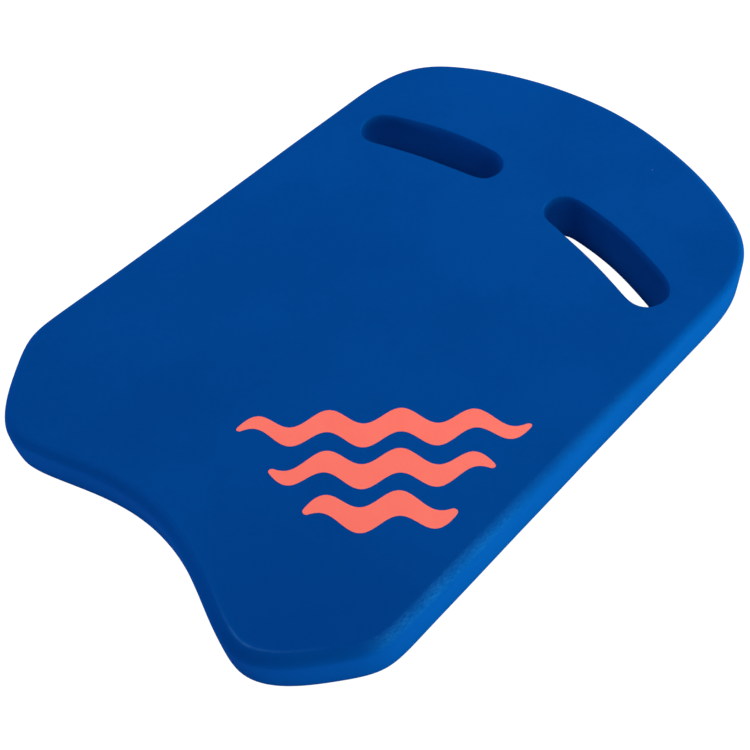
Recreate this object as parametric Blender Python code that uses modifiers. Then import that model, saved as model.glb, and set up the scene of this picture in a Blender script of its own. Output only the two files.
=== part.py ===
"""A swimming kickboard: one moulded foam board with two hand slots, and the ink ribbons printed on it.

Units are metres. The board lies on its underside, on z = 0. +Y points to the nose and +Z up.
"""

import math

import bpy
import bmesh
from mathutils import Vector

# Driving dimensions of the board.
THICKNESS = 0.032
EDGE_ROUND = 0.006  # radius of the moulded edge, top and bottom
RIM_ROUND = 0.001  # radius of the slots' rims
HALF_LENGTH = 0.215

# Right half of the board's outline, from the nose round to the notch in the tail. Each station has
# its place (x, y), the heading of the edge there in degrees, and the Bezier handle lengths before
# and after it.
BOARD_STATIONS = (
    (0.0, HALF_LENGTH, 0.0, 0.038, 0.038),  # middle of the nose
    (0.0995, 0.192, -26.5, 0.025, 0.0305),  # nose corner begins
    (0.147, 0.120, -89.2, 0.0455, 0.052),  # side begins
    (0.151, -0.133, -88.8, 0.064, 0.029),  # side ends, slightly wider
    (0.133, -0.1885, -128.6, 0.031, 0.019),  # slanted side of the foot
    (0.0945, -HALF_LENGTH, 180.0, 0.014, 0.021),  # tip of the foot
    (0.0, -0.1925, 180.0, 0.0415, 0.0415),  # middle of the notch
)

# The whole outline of the right hand slot, in the same form. It is the outer line of the slot's rim, in
# the top face.
SLOT_STATIONS = (
    (0.020, 0.120, 93.5, 0.0105, 0.008),  # inner end
    (0.0375, 0.1343, -2.7, 0.0115, 0.0255),
    (0.1055, 0.120, -19.5, 0.0285, 0.0125),
    (0.1235, 0.101, -95.5, 0.010, 0.005),  # outer end
    (0.1035, 0.0895, 162.2, 0.0155, 0.027),
    (0.036, 0.1067, 169.2, 0.0345, 0.0075),
)
SLOT_LEAN = 0.0035  # a slot's wall is this much further in at the underside than at the top
SLOT_OVERRUN = 0.005  # how far a slot's cutter runs past each face
OUTLINE_RESOLUTION = 9  # straight pieces between one station and the next
WELD_DISTANCE = 0.00001

# The print: wavy ribbons of ink, set slanting across the tail half of the top face.
INK_THICKNESS = 0.0002
INK_GAP = 0.0003  # keeps each ribbon's solid clear of the board's
PRINT_START = (0.0, -0.1263)  # left end of the upper ribbon's centre line
PRINT_HEADING = math.radians(42.6)
RIBBON_PITCH = 0.0265  # from one ribbon's centre line to the next
RIBBON_WIDTH = 0.0158  # measured square to the print's heading
RIBBON_WAVE_HEIGHT = 0.0050  # of a wave's crest above the centre line
RIBBON_WAVE_LENGTH = 0.041
RIBBON_TAPER = 0.4  # a smaller power keeps the ribbon's full width nearer to its ends
STATIONS_PER_WAVE = 22
# Each ribbon's name, and where it starts and ends along the print's heading, in wave lengths.
RIBBONS = (
    ("print_wave_upper", 0.0, 4.0),
    ("print_wave_middle", 0.5, 3.5),
    ("print_wave_lower", 1.0, 3.0),
)

FOAM_BLUE = (0.001, 0.058, 0.290)
INK_CORAL = (0.930, 0.195, 0.140)


def clear_scene():
    for obj in list(bpy.data.objects):
        bpy.data.objects.remove(obj)


def new_collection(name, rendered=True):
    collection = bpy.data.collections.new(name)
    bpy.context.scene.collection.children.link(collection)
    collection.hide_render = not rendered
    return collection


def new_material(name, colour, roughness):
    material = bpy.data.materials.new(name)
    material.use_nodes = True
    shader = material.node_tree.nodes["Principled BSDF"]
    shader.inputs["Base Color"].default_value = (*colour, 1.0)
    shader.inputs["Roughness"].default_value = roughness
    material.diffuse_color = (*colour, 1.0)
    return material


def mirror_image(stations):
    """The same stretch of outline on the other side of x = 0, still running clockwise."""
    return [
        (-x, y, -heading, after, before)
        for x, y, heading, before, after in reversed(stations)
    ]


def flat_curve(name, spline_type, count):
    """A closed 2D curve that fills to a plate, and its points, still to be placed."""
    curve = bpy.data.curves.new(name, "CURVE")
    curve.dimensions = "2D"
    curve.fill_mode = "BOTH"
    curve.resolution_u = OUTLINE_RESOLUTION
    spline = curve.splines.new(spline_type)
    spline.resolution_u = OUTLINE_RESOLUTION
    points = spline.bezier_points if spline_type == "BEZIER" else spline.points
    points.add(count - 1)
    spline.use_cyclic_u = True
    return curve, points


def bezier_outline(name, stations):
    """A closed Bezier outline. The edge runs along a station's heading, and so do its handles."""
    curve, points = flat_curve(name, "BEZIER", len(stations))
    for point, (x, y, heading, before, after) in zip(points, stations):
        angle = math.radians(heading)
        along = Vector((math.cos(angle), math.sin(angle), 0.0))
        place = Vector((x, y, 0.0))
        point.handle_left_type = "FREE"
        point.handle_right_type = "FREE"
        point.co = place
        point.handle_left = place - along * before
        point.handle_right = place + along * after
    return curve


def mesh_object_of(curve, name, height, collection):
    """The curve's plate as a mesh object whose middle is at this height, with its caps welded on."""
    source = bpy.data.objects.new(name + "_outline", curve)
    source.location.z = height
    collection.objects.link(source)
    bpy.context.view_layer.update()
    evaluated = source.evaluated_get(bpy.context.evaluated_depsgraph_get())
    mesh = bpy.data.meshes.new_from_object(evaluated)
    mesh.name = name
    obj = bpy.data.objects.new(name, mesh)
    obj.matrix_world = source.matrix_world.copy()
    collection.objects.link(obj)
    bpy.data.objects.remove(source)
    shape = bmesh.new()
    shape.from_mesh(mesh)
    bmesh.ops.remove_doubles(shape, verts=shape.verts, dist=WELD_DISTANCE)
    bmesh.ops.recalc_face_normals(shape, faces=shape.faces)
    shape.to_mesh(mesh)
    shape.free()
    return obj


def lean_walls(mesh):
    """Draws a slot cutter's upright walls in, by the rim's round at the top and further down by more."""
    shape = bmesh.new()
    shape.from_mesh(mesh)
    moves = []
    for corner in shape.verts:
        walls = [face.normal for face in corner.link_faces if abs(face.normal.z) < 0.5]
        outward = sum(walls, Vector()).normalized()
        depth = THICKNESS / 2 - corner.co.z
        inset = RIM_ROUND + SLOT_LEAN * depth / THICKNESS
        moves.append(outward * (inset / outward.dot(walls[0])))
    for corner, move in zip(shape.verts, moves):
        corner.co -= move
    shape.to_mesh(mesh)
    shape.free()


def slot_cutter(name, stations, collection):
    curve = bezier_outline(name, stations)
    curve.extrude = THICKNESS / 2 + SLOT_OVERRUN
    cutter = mesh_object_of(curve, name, THICKNESS / 2, collection)
    lean_walls(cutter.data)
    cutter.hide_render = True
    cutter.display_type = "WIRE"
    return cutter


def add_board(parts, cutters):
    stations = [*BOARD_STATIONS, *mirror_image(BOARD_STATIONS[1:-1])]
    curve = bezier_outline("board_outline", stations)
    # The round is added outside the drawn outline, so the outline is first drawn in by as much.
    curve.extrude = THICKNESS / 2 - EDGE_ROUND
    curve.bevel_depth = EDGE_ROUND
    curve.bevel_resolution = 2
    curve.offset = -EDGE_ROUND
    board = mesh_object_of(curve, "foam_board", THICKNESS / 2, parts)

    slots = (
        ("hand_slot_right", SLOT_STATIONS),
        ("hand_slot_left", mirror_image(SLOT_STATIONS)),
    )
    for name, slot_stations in slots:
        cut = board.modifiers.new(name, "BOOLEAN")
        cut.operation = "DIFFERENCE"
        cut.object = slot_cutter(name, slot_stations, cutters)

    rims = board.modifiers.new("slot_rims", "BEVEL")
    rims.width = RIM_ROUND
    rims.segments = 2
    rims.use_clamp_overlap = False
    rims.limit_method = "ANGLE"
    rims.angle_limit = math.radians(60)
    board.data.materials.append(new_material("eva_foam_blue", FOAM_BLUE, roughness=0.6))
    board.data.shade_smooth()
    board.data.set_sharp_from_angle(angle=math.radians(50))
    return board


def ribbon_outline(start, end, row):
    """Corner points of one wavy ribbon: out along its upper edge, and back along its lower one."""
    along = Vector((math.cos(PRINT_HEADING), math.sin(PRINT_HEADING)))
    across = Vector((-along.y, along.x))
    origin = Vector(PRINT_START) - across * (row * RIBBON_PITCH)
    steps = round((end - start) * STATIONS_PER_WAVE)
    upper, lower = [], []
    for i in range(steps + 1):
        share = i / steps
        waves = start + share * (end - start)
        phase = 2 * math.pi * waves
        rise = RIBBON_WAVE_HEIGHT * math.sin(phase)
        centre = origin + along * (waves * RIBBON_WAVE_LENGTH) + across * rise
        taper = max(math.sin(math.pi * share), 0.0) ** RIBBON_TAPER
        half = across * (RIBBON_WIDTH / 2 * taper)
        upper.append(centre + half)
        if 0 < i < steps:
            lower.append(centre - half)
    return upper + lower[::-1]


def add_ribbon(name, start, end, row, material, parts):
    corners = ribbon_outline(start, end, row)
    curve, points = flat_curve(name, "POLY", len(corners))
    for point, (x, y) in zip(points, corners):
        point.co = (x, y, 0.0, 1.0)
    curve.extrude = INK_THICKNESS / 2
    ribbon = mesh_object_of(curve, name, THICKNESS + INK_GAP + INK_THICKNESS / 2, parts)
    ribbon.data.materials.append(material)
    return ribbon


def main():
    clear_scene()
    parts = new_collection("kickboard")
    cutters = new_collection("cutters", rendered=False)
    add_board(parts, cutters)
    ink = new_material("screen_print_coral", INK_CORAL, roughness=0.55)
    for row, (name, start, end) in enumerate(RIBBONS):
        add_ribbon(name, start, end, row, ink, parts)


main()
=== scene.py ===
"""The looks of the foam kickboard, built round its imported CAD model.

Units are metres, in the CAD's own frame: the board lies on z = 0, with its nose towards +Y.
The foam board and the three printed ribbons are each built again as a fine mesh on the outlines of
their CAD solids, and take procedural materials.
"""

import math

import bmesh
import bpy
import numpy as np
from mathutils import Matrix, Vector
from mathutils.geometry import delaunay_2d_cdt


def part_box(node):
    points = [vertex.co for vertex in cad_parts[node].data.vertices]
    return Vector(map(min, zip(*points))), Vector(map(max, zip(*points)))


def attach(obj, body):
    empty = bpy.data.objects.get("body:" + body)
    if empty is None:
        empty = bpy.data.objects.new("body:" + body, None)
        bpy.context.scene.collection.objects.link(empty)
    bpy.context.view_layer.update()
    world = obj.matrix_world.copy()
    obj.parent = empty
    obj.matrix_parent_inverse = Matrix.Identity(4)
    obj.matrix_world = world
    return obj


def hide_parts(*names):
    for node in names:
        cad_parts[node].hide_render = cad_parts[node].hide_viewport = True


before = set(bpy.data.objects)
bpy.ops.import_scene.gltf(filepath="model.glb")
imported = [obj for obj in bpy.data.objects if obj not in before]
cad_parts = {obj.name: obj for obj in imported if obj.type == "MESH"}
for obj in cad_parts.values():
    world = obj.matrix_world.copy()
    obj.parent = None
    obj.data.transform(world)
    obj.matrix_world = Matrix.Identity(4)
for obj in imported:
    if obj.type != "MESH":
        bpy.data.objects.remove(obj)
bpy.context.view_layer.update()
BOARD_LOW, BOARD_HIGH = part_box("foam_board")
THICKNESS = BOARD_HIGH.z - BOARD_LOW.z

# The moulded edge, in section. Insets are measured in from the board's wall.
EDGE_ROUND = 0.006
CREASE_INSET = 0.0064  # where the rounded band meets the flat face
CREASE_SOFTNESS = 0.85  # away from the right foot and side: 0 would be crisp, and 1 a plain round
CREASE_LIP = 0.00026  # height of the lip that the press leaves along the crease
LIP_INSET = 0.0069
LIP_DROP = 0.0008  # the lip falls off within this width, outside its crest
RING_INSET = 0.0120  # the innermost row of the edge, where the flat face's own mesh begins
NOSE_ROUND_LOSS = 0.28  # the upper round is smaller towards the nose, by this share
CRISP_SLOPES = (0, 24, 31, 38, 46, 54, 62, 71, 90)  # down the band from a crisp crease, in degrees
ROUND_SLOPES = (0, 90)  # down a plain round

# Rows of points down the edge: on the top face, down the upper round, down the wall, down the lower
# round and on the underside.
TOP_FACE_INSETS = (RING_INSET, 0.0106, 0.0094, 0.0085, 0.0078, 0.0073, LIP_INSET, 0.0066)
UPPER_ROUND_ROWS = 14
WALL_ROWS = 5
LOWER_ROUND_ROWS = 10
UNDERSIDE_INSETS = (0.0075, 0.0093, RING_INSET)

# How far the wall stands proud at mid height: all round, and how much further at the left foot and
# beside the notch.
WALL_BULGE = 0.0002
FOOT_BULGE = 0.0009
NOTCH_BULGE = 0.0004

# The hand slots. Their walls lean in, going down: against the CAD's wall at mid height they are
# further out at the top, and further in at the underside.
SLOT_LEAN_TOP = 0.0024
SLOT_LEAN_UNDER = 0.00175
SLOT_HOLLOW = 0.0002  # how hollow a slot's wall is at mid height
CUT_FADE = (0.0008, 0.0030)  # depths between which the moulded skin gives way to the cut wall
RIM_ROUND = 0.0004
RIM_ROLL = 0.00005  # how far the face sinks towards a rim
RIM_ROLL_WIDTH = 0.0020
RIM_FACE_INSETS = (0.006, 0.0045, 0.0032, 0.0020, 0.0011, 0.0006)  # rows on the face round a rim
RIM_ROUND_ROWS = 6

# What each point of the foam's mesh says for its material: how far it is on a cut wall and how strong
# the painted highlight along its crease is, both from 0 to 1, and how far it is along and down the
# moulded edge.
MARKS = ("cut_wall", "pinch", "edge_run", "edge_drop")
CREASE_HIGHLIGHT_WIDTH = 0.0006  # of the painted highlight along the crease
CREASE_HIGHLIGHT_PEAK = 0.097  # x of the right foot's tip, where the painted highlight is brightest
CREASE_HIGHLIGHT_SPREAD = 0.013  # how far that brightest stretch reaches to each side
CREASE_HIGHLIGHT_LEAST = 0.40  # how bright the painted highlight is on the rest of the right foot's crease, as a share

# Spacing of the meshes' points, along the outlines and on the faces inside them.
OUTLINE_STEP = 0.0026
SLOT_STEP = 0.0018
FACE_STEP = 0.0048
PRINT_STEP = 0.0011
PRINT_FACE_STEP = 0.003
WELD_DISTANCE = 0.000001
CAD_WELD_DISTANCE = 0.00001
STRAIGHT = math.radians(0.004)  # an outline that turns by less than this at a point is straight there
SPLINE_STEPS = 24  # of the smooth curve between one corner of an outline and the next
CLEARANCE = 0.55  # from an outline to the nearest points of a face's grid, in steps of the grid

# The faces are not quite flat: gentle waves, each (height, length, heading in degrees, phase).
FACE_WAVES = (
    (0.00007, 0.173, 21, 0.4),
    (0.00005, 0.117, 98, 2.1),
    (0.00004, 0.083, 57, 4.0),
    (0.00003, 0.061, 143, 1.3),
    (0.00002, 0.041, 8, 5.2),
)
WALL_WAVES = ((0.00008, 0.097, 33, 0.9), (0.00005, 0.058, 121, 3.3))

# The bottom and top of the print's film of ink, above the foam. The bottom is sunk in its skin.
INK_HEIGHTS = (-0.00005, 0.00006)
INK_SHARP_ANGLE = math.radians(40)

PRINTS = {
    "print_film_upper": "print_wave_upper",
    "print_film_middle": "print_wave_middle",
    "print_film_lower": "print_wave_lower",
}

# Colours of the materials, in linear light.
FOAM_DEEP = (0.0005, 0.0560, 0.282)
FOAM_LIGHT = (0.0006, 0.0628, 0.308)
# the fine grain's colour, also used for the painted shade on the right foot
FOAM_GRAIN_AND_SHADE = (0.0003, 0.046, 0.250)
FOAM_GLOSS = (0.05, 0.45, 1.0)  # tint of what little gloss it has
# painted sheen where the light catches the right side's round, streaked with pale stress wrinkles
STRESS_AND_SHEEN_TINT = (0.030, 0.25, 0.71)
# painted highlight along the crease, where the light catches the lip
CREASE_HIGHLIGHT_TINT = (0.045, 0.24, 0.68)
DUST = (0.55, 0.62, 0.75)
INK_DEEP = (0.960, 0.174, 0.127)
INK_LIGHT = (0.980, 0.191, 0.143)
INK_PORE = (0.62, 0.12, 0.13)
FOAM_SPECULAR = 0.001
INK_SPECULAR = 0.3

# The stage.
FLOOR_COLOUR = (0.12, 0.12, 0.12)  # of what it reflects; it looks white because it glows
FLOOR_REACH = 40.0  # from its middle to each side
FLOOR_GLOW = 1.07  # as thrown on the board
FLOOR_SHADE = 0.0  # the share of its glow that the floor keeps right under the board's edge
FLOOR_SHADE_REACH = 0.030
FLOOR_GAP = 0.0002  # the floor is this far under the board, so that the two don't flicker

# Each light's name, azimuth and elevation in degrees, width and height in metres, power in watts, and
# colour. All of them face the middle of the board's underside.
SOFTBOXES = (
    ("softbox_nose", 180, 45, 1.0, 1.0, 19.4, (1.22, 1.0, 0.98)),
    ("softbox_left", -90, 40, 0.8, 0.8, 9.5, (1.20, 1.0, 0.96)),
    ("softbox_tail", 0, 35, 0.8, 0.8, 2.6, (0.9, 0.9, 1.1)),
    ("softbox_right", 90, 34, 0.8, 0.8, 5.4, (1.0, 1.0, 1.0)),
    ("strip_left_tail", -45, 8, 1.0, 0.35, 8.0, (0.6, 0.98, 1.15)),
    ("strip_right", 90, 3.1, 1.0, 0.17, 16.2, (0.3, 1.0, 0.82)),
    ("strip_nose_right", 135, 3.1, 1.0, 0.17, 19.0, (0.3, 1.0, 0.58)),
)
SOFTBOX_DISTANCE = 1.6

CAMERA_AIM = Vector((0.0170, -0.0356, 0.0057))  # the point that it looks at
CAMERA_DISTANCE = 0.692
CAMERA_AZIMUTH = math.radians(51.03)  # round from the tail, towards +X
CAMERA_ELEVATION = math.radians(53.55)
CAMERA_ROLL = math.radians(-8.233)
CAMERA_LENS = 55.35  # mm, on a 36 mm sensor


# ---------------------------------------------------------------- outlines


def section_outlines(node):
    """The closed outlines of a CAD node, cut level through its middle, the longest first."""
    low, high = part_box(node)
    shape = bmesh.new()
    shape.from_mesh(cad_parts[node].data)
    bmesh.ops.remove_doubles(shape, verts=shape.verts, dist=CAD_WELD_DISTANCE)
    bmesh.ops.bisect_plane(
        shape,
        geom=[*shape.verts, *shape.edges, *shape.faces],
        plane_co=(low + high) / 2,
        plane_no=(0, 0, 1),
        clear_inner=True,
        clear_outer=True,
    )
    outlines, left = [], set(shape.verts)
    while left:
        corner = min(left, key=lambda v: (round(v.co.x, 6), round(v.co.y, 6)))
        outline = []
        while corner is not None:
            outline.append(corner.co.xy[:])
            left.discard(corner)
            ahead = [e.other_vert(corner) for e in corner.link_edges]
            corner = next((v for v in ahead if v in left), None)
        outlines.append(corners_only(np.array(outline)))
    shape.free()
    return sorted(outlines, key=lambda outline: -loop_lengths(outline)[-1])


def corners_only(outline):
    """The outline anticlockwise, without the points that lie on a straight line between others."""
    before = outline - np.roll(outline, 1, axis=0)
    after = np.roll(outline, -1, axis=0) - outline
    turn = np.arctan2(
        before[:, 0] * after[:, 1] - before[:, 1] * after[:, 0], (before * after).sum(axis=1)
    )
    outline = outline[np.abs(turn) > STRAIGHT]
    return outline if turn.sum() > 0 else outline[::-1]


def loop_lengths(outline):
    """How far along the closed outline each point is, with the whole length last."""
    gaps = np.linalg.norm(np.roll(outline, -1, axis=0) - outline, axis=1)
    return np.concatenate([[0.0], np.cumsum(gaps)])


def smooth_loop(corners, step):
    """Evenly spaced points on the smooth closed curve (a cubic spline) through these corners."""
    count = len(corners)
    gaps = np.linalg.norm(np.roll(corners, -1, axis=0) - corners, axis=1)
    ahead, behind = gaps, np.roll(gaps, 1)
    system = np.zeros((count, count))
    for i in range(count):
        system[i, i - 1] += 1 / behind[i]
        system[i, i] += 2 / behind[i] + 2 / ahead[i]
        system[i, (i + 1) % count] += 1 / ahead[i]
    change_behind = (corners - np.roll(corners, 1, axis=0)) / behind[:, None] ** 2
    change_ahead = (np.roll(corners, -1, axis=0) - corners) / ahead[:, None] ** 2
    slopes = np.linalg.solve(system, 3 * (change_behind + change_ahead))

    share = np.arange(SPLINE_STEPS)[None, :, None] / SPLINE_STEPS
    start, end = corners[:, None, :], np.roll(corners, -1, axis=0)[:, None, :]
    leaving = slopes[:, None, :] * gaps[:, None, None]
    arriving = np.roll(slopes, -1, axis=0)[:, None, :] * gaps[:, None, None]
    curve = (
        start * (2 * share**3 - 3 * share**2 + 1)
        + leaving * (share**3 - 2 * share**2 + share)
        + end * (3 * share**2 - 2 * share**3)
        + arriving * (share**3 - share**2)
    ).reshape(-1, 2)

    lengths = loop_lengths(curve)
    places = np.arange(round(lengths[-1] / step)) * lengths[-1] / round(lengths[-1] / step)
    closed = np.vstack([curve, curve[:1]])
    return np.stack([np.interp(places, lengths, closed[:, i]) for i in (0, 1)], axis=1)


def left_normals(outline):
    """Unit normals to the left of an outline: into an anticlockwise one."""
    along = np.roll(outline, -1, axis=0) - np.roll(outline, 1, axis=0)
    along /= np.linalg.norm(along, axis=1)[:, None]
    return np.stack([-along[:, 1], along[:, 0]], axis=1)


def inside(points, outline):
    """Which of the points are inside the outline."""
    x, y = points[:, 0, None], points[:, 1, None]
    x1, y1 = outline.T
    x2, y2 = np.roll(outline, -1, axis=0).T
    crosses = (y1 > y) != (y2 > y)
    rise = np.where(y2 == y1, 1.0, y2 - y1)
    return (crosses & (x < (x2 - x1) * (y - y1) / rise + x1)).sum(axis=1) % 2 == 1


def distance_to(points, outline):
    return np.sqrt(((points[:, None, :] - outline[None, :, :]) ** 2).sum(axis=2)).min(axis=1)


def filled(rim, *holes, step):
    """Triangles that fill the rim's outline and leave the holes open, on a triangular grid.

    Gives all the points, those of the rim first and then those of each hole, and the triangles.
    """
    low, high = rim.min(axis=0), rim.max(axis=0)
    rows = np.arange(low[1], high[1], step * math.sqrt(3) / 2)
    grid = []
    for i, y in enumerate(rows):
        grid += [(x, y) for x in np.arange(low[0] + step / 2 * (i % 2), high[0], step)]
    grid = np.array(grid)
    keep = inside(grid, rim) & (distance_to(grid, rim) > CLEARANCE * step)
    for hole in holes:
        keep &= ~inside(grid, hole) & (distance_to(grid, hole) > CLEARANCE * step)
    loops = [rim, *holes]
    points = np.vstack([*loops, grid[keep]])
    edges, first = [], 0
    for loop in loops:
        edges += [(first + i, first + (i + 1) % len(loop)) for i in range(len(loop))]
        first += len(loop)
    made = delaunay_2d_cdt([Vector(p) for p in points], edges, [], 0, 0.0)
    triangles = np.array([sorted_turn(face, made[0]) for face in made[2]])
    if len(made[0]) != len(points):
        raise ValueError("the outlines touch each other")
    middles = points[triangles].mean(axis=1)
    keep = inside(middles, rim)
    for hole in holes:
        keep &= ~inside(middles, hole)
    return points, triangles[keep]


def sorted_turn(face, places):
    """The triangle's corners in anticlockwise order."""
    a, b, c = (places[i] for i in face)
    turn = (b.x - a.x) * (c.y - a.y) - (b.y - a.y) * (c.x - a.x)
    return list(face) if turn > 0 else list(face)[::-1]


# ---------------------------------------------------------------- surfaces


def waves(points, table):
    """The sum of some gentle waves, at each of the points."""
    total = np.zeros(len(points))
    for height, length, heading, phase in table:
        angle = math.radians(heading)
        run = points[:, 0] * math.cos(angle) + points[:, 1] * math.sin(angle)
        total += height * np.sin(2 * math.pi * run / length + phase)
    return total


def smoothstep(value, low, high):
    share = np.clip((value - low) / (high - low), 0.0, 1.0)
    return share * share * (3 - 2 * share)


def top_height(points):
    return THICKNESS + waves(points, FACE_WAVES)


def on_top_face(points, above):
    """The points in 3D, at this height above the top face."""
    return np.column_stack([points, top_height(points) + above])


def bottom_height(points):
    """The underside's waves are half as high as the top's, and none of them dips below z = 0."""
    most = sum(height for height, *_ in FACE_WAVES)
    return 0.5 * (most + waves(points[:, ::-1], FACE_WAVES))


def band_section(angles, steps):
    """The band's section from the face to the wall, as (inset, depth) of 1 by 1.

    Angles gives its slope in degrees at even shares of its length.
    """
    share = (np.arange(steps) + 0.5) / steps
    slope = np.radians(np.interp(share, np.linspace(0, 1, len(angles)), angles))
    run = np.concatenate([[0.0], np.cumsum(np.cos(slope))])
    drop = np.concatenate([[0.0], np.cumsum(np.sin(slope))])
    return 1 - run / run[-1], drop / drop[-1]


def softness(outline):
    """How soft the crease is along the outline: 0 is crisp, as round the right foot, and 1 soft."""
    x, y = outline.T
    towards_nose = smoothstep(y, -0.19, -0.06)
    right_side = smoothstep(x, 0.122, 0.146) * smoothstep(y, -0.200, -0.160)
    left_foot = smoothstep(-x, -0.085, 0.03)
    return np.clip(CREASE_SOFTNESS * np.maximum(towards_nose, left_foot) + right_side, 0, 1)


def round_size(outline):
    """The size of the upper round, as a share of the full one: it is smaller towards the nose."""
    return 1 - NOSE_ROUND_LOSS * smoothstep(outline[:, 1], -0.04, 0.06)


def bulge(outline):
    """How far the wall stands proud at mid height.

    That is most at the left foot's outer corner and on the right foot's side of the notch.
    """
    x, y = outline.T
    left_foot = smoothstep(-x, 0.07, 0.11) * smoothstep(-y, 0.09, 0.13)
    right_of_notch = smoothstep(x, 0.015, 0.050) * smoothstep(-x, -0.090, -0.065)
    notch_side = right_of_notch * smoothstep(-y, 0.185, 0.197)
    return WALL_BULGE + FOOT_BULGE * left_foot + NOTCH_BULGE * notch_side


def pinch_along(outline):
    """How strong the painted highlight along the crease is, from 0 to 1: it is brightest at the right
    foot's tip.
    """
    x, y = outline.T
    foot = smoothstep(x, 0.050, 0.088) * smoothstep(-x, -0.142, -0.116) * smoothstep(-y, 0.15, 0.17)
    tip = np.exp(-(((x - CREASE_HIGHLIGHT_PEAK) / CREASE_HIGHLIGHT_SPREAD) ** 2))
    return foot * (CREASE_HIGHLIGHT_LEAST + (1 - CREASE_HIGHLIGHT_LEAST) * tip)


def lip_height(inset, soft):
    """The lip along the crease: it rises ever more steeply to its crest, and drops off outside it."""
    rise = np.clip((RING_INSET - inset) / (RING_INSET - LIP_INSET), 0, 1) ** 2
    return CREASE_LIP * (1 - soft) * rise * smoothstep(inset, LIP_INSET - LIP_DROP, LIP_INSET)


def edge_rows(outline):
    """Rows of points down the board's moulded edge, from the top face's ring to the underside's.

    Gives the rows, and for each row how strong the painted crease highlight is there.
    """
    inward = left_normals(outline)
    soft = softness(outline)
    size = round_size(outline)
    crisp_inset, crisp_depth = band_section(CRISP_SLOPES, UPPER_ROUND_ROWS)
    round_inset, round_depth = band_section(ROUND_SLOPES, UPPER_ROUND_ROWS)
    uneven = waves(outline, WALL_WAVES)
    proud = bulge(outline)
    pinch = pinch_along(outline)
    rows, pinches = [], []

    def add(inset, height, depth, wall=0.0, crease=0.0):
        """One row: depth is how far it is under the face that its height is measured from.

        Wall is the share of the wall's unevenness that it has, and crease its share of the painted
        crease highlight.
        """
        share = depth / THICKNESS
        out = proud * 4 * share * (1 - share)
        points = outline + inward * (inset + wall * uneven - out)[:, None]
        rows.append(np.column_stack([points, height(points)]))
        pinches.append(crease * pinch)

    def add_top(inset, depth, wall=0.0):
        crease = np.exp(-(((inset - LIP_INSET) / CREASE_HIGHLIGHT_WIDTH) ** 2))
        lip = lip_height(inset, soft)
        add(inset, lambda points: top_height(points) - depth + lip, depth, wall, crease)

    def add_bottom(inset, depth, wall=0.0):
        add(inset, lambda points: bottom_height(points) + depth, depth, wall)

    for inset in TOP_FACE_INSETS:
        add_top(inset, 0.0)
    for i in range(len(crisp_inset)):
        inset = CREASE_INSET * size * (crisp_inset[i] * (1 - soft) + round_inset[i] * soft)
        depth = EDGE_ROUND * size * (crisp_depth[i] * (1 - soft) + round_depth[i] * soft)
        add_top(inset, depth, crisp_depth[i])
    for i in range(1, WALL_ROWS + 1):
        share = i / (WALL_ROWS + 1)
        depth = EDGE_ROUND * size * (1 - share) + (THICKNESS - EDGE_ROUND) * share
        add(0.0, lambda points: top_height(points) - depth, depth, 1.0)
    under_inset, under_depth = band_section(ROUND_SLOPES, LOWER_ROUND_ROWS)
    for inset, depth in reversed(list(zip(under_inset, under_depth))):
        add_bottom(EDGE_ROUND * inset, EDGE_ROUND * depth, depth)
    for inset in UNDERSIDE_INSETS:
        add_bottom(inset, 0.0)
    return rows, pinches


def slot_rows(outline):
    """Rows of points down a hand slot, from the ring on the top face to the one on the bottom.

    The outline is the slot's wall at the board's mid height. The wall leans in, going down.
    """
    outward = -left_normals(outline)
    rows = []

    def add(inset, depth, face_height, sign):
        """One row, with its inset out from the wall's edge and its depth under that face."""
        points = outline + outward * (inset + (SLOT_LEAN_TOP if sign > 0 else -SLOT_LEAN_UNDER))
        roll = RIM_ROLL * (1 - smoothstep(inset, 0.0, RIM_ROLL_WIDTH + RIM_ROUND))
        rows.append(np.column_stack([points, face_height(points) - sign * (depth + roll)]))

    inset_share, depth_share = band_section(ROUND_SLOPES, RIM_ROUND_ROWS)
    for inset in RIM_FACE_INSETS:
        add(inset, 0.0, top_height, 1)
    for inset, depth in zip(inset_share, depth_share):
        add(RIM_ROUND * inset, RIM_ROUND * depth, top_height, 1)
    for i in range(1, WALL_ROWS + 1):
        share = i / (WALL_ROWS + 1)
        lean = SLOT_LEAN_TOP * (1 - share) - SLOT_LEAN_UNDER * share
        points = outline + outward * (lean + SLOT_HOLLOW * math.sin(math.pi * share))
        top, bottom = top_height(points) - RIM_ROUND, bottom_height(points) + RIM_ROUND
        rows.append(np.column_stack([points, top * (1 - share) + bottom * share]))
    for inset, depth in reversed(list(zip(inset_share, depth_share))):
        add(RIM_ROUND * inset, RIM_ROUND * depth, bottom_height, -1)
    for inset in RIM_FACE_INSETS[::-1]:
        add(inset, 0.0, bottom_height, -1)
    return rows


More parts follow.
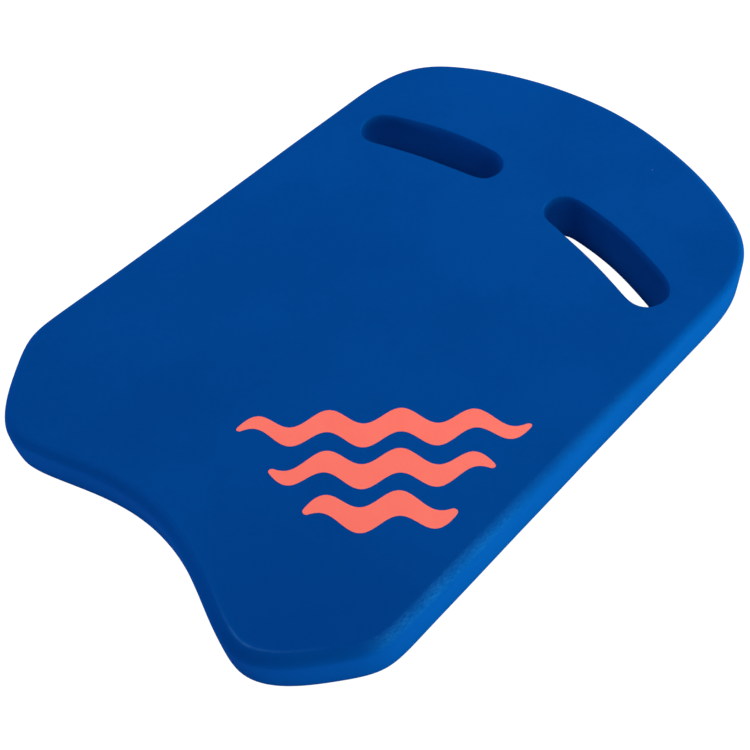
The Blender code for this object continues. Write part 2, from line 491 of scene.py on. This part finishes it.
class Shell:
    """A closed mesh gathered from rows of points and from faces, and welded at the end."""

    def __init__(self):
        self.points, self.faces, self.marks = [], [], []

    def add(self, points, faces, **marks):
        """Marks are the values of any of the MARKS at the points. The others are 0 there."""
        first = len(self.points)
        self.points += [tuple(p) for p in points]
        self.faces += [tuple(first + i for i in face) for face in faces]
        self.marks.append(np.array([marks.get(name, np.zeros(len(points))) for name in MARKS]))

    def add_rows(self, rows, **marks):
        """A skin between each row and the next."""
        count = len(rows[0])
        faces = []
        for first in range(0, (len(rows) - 1) * count, count):
            for i in range(count):
                j = (i + 1) % count
                faces.append((first + i, first + count + i, first + count + j, first + j))
        self.add(np.vstack(rows), faces, **marks)

    def object(self, name):
        mesh = bpy.data.meshes.new(name)
        mesh.from_pydata(self.points, [], self.faces)
        for mark, values in zip(MARKS, np.hstack(self.marks)):
            mesh.attributes.new(mark, "FLOAT", "POINT").data.foreach_set("value", values)
        shape = bmesh.new()
        shape.from_mesh(mesh)
        bmesh.ops.remove_doubles(shape, verts=shape.verts, dist=WELD_DISTANCE)
        if not all(edge.is_manifold for edge in shape.edges):
            raise ValueError(f"{name} is not closed")
        bmesh.ops.recalc_face_normals(shape, faces=shape.faces)
        shape.to_mesh(mesh)
        shape.free()
        mesh.shade_smooth()
        made = bpy.data.objects.new(name, mesh)
        bpy.context.scene.collection.objects.link(made)
        return made


def build_board():
    outer, *slots = section_outlines("foam_board")
    shell = Shell()
    outline = smooth_loop(outer, OUTLINE_STEP)
    rows, pinches = edge_rows(outline)
    steps = np.linalg.norm(np.diff(rows, axis=0), axis=2)
    drops = np.vstack([np.zeros(len(outline)), np.cumsum(steps, axis=0)])
    runs = np.tile(loop_lengths(outline)[:-1], len(rows))
    shell.add_rows(rows, pinch=np.concatenate(pinches), edge_run=runs, edge_drop=drops.ravel())
    top_rims, bottom_rims = [rows[0]], [rows[-1]]
    for slot in slots:
        rows = slot_rows(smooth_loop(slot, SLOT_STEP))
        height = np.vstack(rows)[:, 2]
        cut = smoothstep(THICKNESS - height, *CUT_FADE) * smoothstep(height, *CUT_FADE)
        shell.add_rows(rows, cut_wall=cut)
        top_rims.append(rows[0])
        bottom_rims.append(rows[-1])
    # Each face's own mesh has the same points as the rims' rows, where the two are welded.
    for rims, face_height in ((top_rims, top_height), (bottom_rims, bottom_height)):
        points, triangles = filled(*(rim[:, :2] for rim in rims), step=FACE_STEP)
        shell.add(np.column_stack([points, face_height(points)]), triangles)
    return shell.object("foam_body")


def build_print(name, node):
    outline = smooth_loop(section_outlines(node)[0], PRINT_STEP)
    points, triangles = filled(outline, step=PRINT_FACE_STEP)
    shell = Shell()
    shell.add_rows([on_top_face(outline, height) for height in INK_HEIGHTS])
    for height in INK_HEIGHTS:
        shell.add(on_top_face(points, height), triangles)
    film = shell.object(name)
    film.data.set_sharp_from_angle(angle=INK_SHARP_ANGLE)
    return film


# ---------------------------------------------------------------- materials


class Nodes:
    """A new material's node tree, with short calls to add and join its nodes."""

    def __init__(self, name):
        self.material = bpy.data.materials.new(name)
        self.material.use_nodes = True
        self.tree = self.material.node_tree
        self.shader = self.tree.nodes["Principled BSDF"]
        self.place = self.add("ShaderNodeTexCoord").outputs["Object"]

    def add(self, kind, inputs=None, **settings):
        node = self.tree.nodes.new(kind)
        for name, value in settings.items():
            setattr(node, name, value)
        for name, value in (inputs or {}).items():
            self.set(node.inputs[name], value)
        return node

    def set(self, socket, value):
        if isinstance(value, bpy.types.NodeSocket):
            self.tree.links.new(value, socket)
        else:
            socket.default_value = value

    def noise(self, scale, detail=2.0, roughness=0.5, place=None, distortion=0.0):
        """Noise with about as many bumps to a metre as its scale says."""
        inputs = {
            "Vector": place or self.place,
            "Scale": scale,
            "Detail": detail,
            "Roughness": roughness,
            "Distortion": distortion,
        }
        return self.add("ShaderNodeTexNoise", inputs).outputs["Fac"]

    def math(self, operation, *values):
        node = self.add("ShaderNodeMath", operation=operation)
        for socket, value in zip(node.inputs, values):
            self.set(socket, value)
        return node.outputs["Value"]

    def span(self, value, low, high, to_low=0.0, to_high=1.0):
        """The value, read from low to high and given as to_low to to_high, with smooth ends."""
        inputs = {"Value": value, "From Min": low, "From Max": high, "To Min": to_low, "To Max": to_high}
        node = self.add("ShaderNodeMapRange", inputs, interpolation_type="SMOOTHSTEP")
        return node.outputs["Result"]

    def times(self, *values):
        """The product of the values."""
        product, *others = values
        for value in others:
            product = self.math("MULTIPLY", product, value)
        return product

    def mix(self, share, first, second):
        """A mix of two colours. The Mix node's own sockets for colours are its inputs 6 and 7."""
        node = self.add("ShaderNodeMix", data_type="RGBA")
        for index, value in ((0, share), (6, first), (7, second)):
            self.set(node.inputs[index], (*value, 1.0) if isinstance(value, tuple) else value)
        return node.outputs[2]

    def bump(self, height, distance, strength, normal=None):
        node = self.add("ShaderNodeBump", {"Height": height, "Distance": distance, "Strength": strength})
        if normal is not None:
            self.set(node.inputs["Normal"], normal)
        return node.outputs["Normal"]

    def skin(self, cell_strength):
        """The relief of the moulded skin: orange peel, and the foam's cells at this strength."""
        peel = self.bump(self.noise(320.0, 2.0, 0.5), 0.00006, 0.6)
        cell = self.add("ShaderNodeTexVoronoi", {"Vector": self.place, "Scale": 2300.0})
        return self.bump(cell.outputs["Distance"], 0.00005, cell_strength, peel)


def foam_material():
    """Closed-cell foam with its moulded skin; the slots' walls are a little rougher."""
    n = Nodes("moulded_eva_foam")
    x, y, _ = n.add("ShaderNodeSeparateXYZ", {"Vector": n.place}).outputs
    marks = [n.add("ShaderNodeAttribute", attribute_name=mark).outputs["Fac"] for mark in MARKS]
    cut, pinch, run, drop = marks

    # Colour: broad and small mottling, and painted shade: a slightly deeper blue on the right foot,
    # where the light falls off towards the tail.
    broad = n.noise(14.0, 2.0, 0.5)
    small = n.noise(240.0, 3.0, 0.6)
    fine = n.noise(1500.0, 2.0, 0.6)
    tone = n.math("ADD", n.times(broad, 0.7), n.times(small, 0.3))
    colour = n.mix(n.span(tone, 0.35, 0.65), FOAM_DEEP, FOAM_LIGHT)
    colour = n.mix(n.times(n.span(fine, 0.3, 0.75), 0.08), colour, FOAM_GRAIN_AND_SHADE)
    # Painted shade: the right foot's top is darker, where the light falls off towards the tail.
    right_foot_shade = n.times(n.span(y, -0.08, -0.19), n.span(x, -0.01, 0.10))
    colour = n.mix(n.times(right_foot_shade, 0.5), colour, FOAM_GRAIN_AND_SHADE)

    # Fine stress wrinkles along the right side's upper edge, and a painted sheen where the light catches
    # the round there, palest at the wrinkles' crests. They are drawn out along the edge, and lie on the
    # round below the crease.
    on_edge = n.add("ShaderNodeCombineXYZ", {"X": n.times(run, 0.15), "Y": drop}).outputs["Vector"]
    wrinkle = n.noise(2500.0, 2.0, 0.6, on_edge, 0.2)
    on_round = n.times(n.span(drop, 0.0048, 0.0072), n.span(drop, 0.0150, 0.0110))
    on_side = n.times(n.span(x, 0.125, 0.145), n.span(y, -0.172, -0.155))
    fading = n.span(y, -0.03, -0.11, 0.25, 1.0)
    patches = n.span(n.noise(60.0, 1.0), 0.35, 0.60, 0.6, 1.0)
    tail_half = n.span(y, 0.06, 0.02)
    wrinkle_and_sheen_region = n.times(on_round, on_side, fading, patches, tail_half)
    # Painted sheen: the lit round is made paler, streaked by the wrinkles.
    wrinkle_sheen = n.times(wrinkle_and_sheen_region, n.span(wrinkle, 0.40, 0.62, 0.02, 0.24))
    colour = n.mix(wrinkle_sheen, colour, STRESS_AND_SHEEN_TINT)

    # A painted highlight: the foam is paler along its crease, where the light catches the lip.
    uneven = n.span(n.noise(170.0, 2.0), 0.35, 0.62, 0.6, 1.0)
    colour = n.mix(n.times(pinch, uneven, 0.30), colour, CREASE_HIGHLIGHT_TINT)

    # A few specks of dust.
    cells = n.add("ShaderNodeTexVoronoi", {"Vector": n.place, "Scale": 55.0})
    chosen = n.add("ShaderNodeSeparateColor", {"Color": cells.outputs["Color"]}).outputs["Red"]
    speck = n.math("LESS_THAN", cells.outputs["Distance"], 0.022)
    speck = n.times(speck, n.math("GREATER_THAN", chosen, 0.93))
    colour = n.mix(n.times(speck, 0.2), colour, DUST)
    n.set(n.shader.inputs["Base Color"], colour)

    # Roughness: satin skin, duller cut walls.
    rough = n.span(n.noise(90.0, 3.0), 0.3, 0.7, 0.50, 0.60)
    n.set(n.shader.inputs["Roughness"], n.math("ADD", rough, n.times(cut, 0.18)))
    n.shader.inputs["Specular IOR Level"].default_value = FOAM_SPECULAR
    n.shader.inputs["Specular Tint"].default_value = (*FOAM_GLOSS, 1.0)

    # Relief: orange peel from the mould, the foam's cells, and the wrinkles.
    grain = n.skin(n.math("ADD", 0.25, n.times(cut, 0.6)))
    n.set(n.shader.inputs["Normal"], n.bump(wrinkle, 0.00006, n.times(wrinkle_and_sheen_region, 0.7), grain))
    return n.material


def ink_material():
    """Coral screen-print ink, a thin matt film that takes the foam's grain."""
    n = Nodes("coral_screen_ink")
    broad = n.noise(38.0, 2.0)
    small = n.noise(900.0, 3.0, 0.6)
    tone = n.math("ADD", n.times(broad, 0.6), n.times(small, 0.4))
    colour = n.mix(n.span(tone, 0.35, 0.65), INK_DEEP, INK_LIGHT)
    pores = n.span(n.noise(2600.0, 2.0, 0.7), 0.70, 0.80)
    colour = n.mix(n.times(pores, 0.35), colour, INK_PORE)
    n.set(n.shader.inputs["Base Color"], colour)
    n.set(n.shader.inputs["Roughness"], n.span(n.noise(120.0, 2.0), 0.3, 0.7, 0.46, 0.56))
    n.shader.inputs["Specular IOR Level"].default_value = INK_SPECULAR
    n.set(n.shader.inputs["Normal"], n.skin(0.2))
    return n.material


# ---------------------------------------------------------------- stage


def add_camera():
    side = Vector((math.cos(CAMERA_AZIMUTH), math.sin(CAMERA_AZIMUTH), 0.0))
    away = Vector((side.y, -side.x, 0.0)) * math.cos(CAMERA_ELEVATION)
    away.z = math.sin(CAMERA_ELEVATION)
    up = away.cross(side)
    right = side * math.cos(CAMERA_ROLL) + up * math.sin(CAMERA_ROLL)
    up = away.cross(right)
    data = bpy.data.cameras.new("camera")
    data.lens = CAMERA_LENS
    data.sensor_width = 36.0
    data.clip_start, data.clip_end = 0.05, 50.0
    camera = bpy.data.objects.new("camera", data)
    turn = Matrix((right, up, away)).transposed().to_4x4()
    camera.matrix_world = Matrix.Translation(CAMERA_AIM + away * CAMERA_DISTANCE) @ turn
    bpy.context.scene.collection.objects.link(camera)
    bpy.context.scene.camera = camera


def add_softbox(name, azimuth, elevation, width, height, power, colour):
    """A soft light that faces the board. Azimuth goes round from the tail, towards +X, in degrees."""
    around, above = math.radians(azimuth), math.radians(elevation)
    towards = Vector((math.sin(around), -math.cos(around), math.tan(above))).normalized()
    data = bpy.data.lights.new(name, "AREA")
    data.shape = "RECTANGLE"
    data.size, data.size_y = width, height
    data.energy = power
    data.color = colour
    light = bpy.data.objects.new(name, data)
    light.location = towards * SOFTBOX_DISTANCE
    light.rotation_euler = towards.to_track_quat("Z", "Y").to_euler()
    bpy.context.scene.collection.objects.link(light)


def add_floor():
    """A plain floor that looks pure white, and throws its light back at the board.

    Where the board's lower edge is close to the floor, the floor there lies in its shade.
    """
    mesh = bpy.data.meshes.new("floor")
    square = ((-1, -1), (1, -1), (1, 1), (-1, 1))
    corners = [(x * FLOOR_REACH, y * FLOOR_REACH, 0) for x, y in square]
    mesh.from_pydata(corners, [], [(0, 1, 2, 3)])
    floor = bpy.data.objects.new("floor", mesh)
    floor.location.z = -FLOOR_GAP
    bpy.context.scene.collection.objects.link(floor)
    n = Nodes("white_floor")
    n.shader.inputs["Base Color"].default_value = (*FLOOR_COLOUR, 1.0)
    n.shader.inputs["Roughness"].default_value = 0.9
    n.shader.inputs["Specular IOR Level"].default_value = 0.0
    n.shader.inputs["Emission Color"].default_value = (1.0, 1.0, 1.0, 1.0)
    ray = n.add("ShaderNodeLightPath").outputs
    shade = n.span(ray["Ray Length"], 0.0, FLOOR_SHADE_REACH, FLOOR_SHADE * FLOOR_GLOW, FLOOR_GLOW)
    thrown = n.times(ray["Is Diffuse Ray"], shade)
    n.set(n.shader.inputs["Emission Strength"], n.math("ADD", ray["Is Camera Ray"], thrown))
    mesh.materials.append(n.material)


def add_world():
    """A surround that looks as white as the floor. It doesn't light the board."""
    world = bpy.data.worlds.new("studio")
    world.use_nodes = True
    tree = world.node_tree
    background = tree.nodes["Background"]
    background.inputs["Color"].default_value = (1.0, 1.0, 1.0, 1.0)
    seen = tree.nodes.new("ShaderNodeLightPath").outputs["Is Camera Ray"]
    tree.links.new(seen, background.inputs["Strength"])
    bpy.context.scene.world = world


def add_stage():
    add_world()
    add_floor()
    for softbox in SOFTBOXES:
        add_softbox(*softbox)
    settings = bpy.context.scene.view_settings
    settings.view_transform = "Standard"
    settings.look = "None"


# ---------------------------------------------------------------- the model


def add_board():
    board = build_board()
    board.data.materials.append(foam_material())
    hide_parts("foam_board")
    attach(board, "root")


def add_prints():
    ink = ink_material()
    for name, node in PRINTS.items():
        film = build_print(name, node)
        film.data.materials.append(ink)
        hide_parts(node)
        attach(film, "root")


add_camera()
add_stage()
add_board()
add_prints()
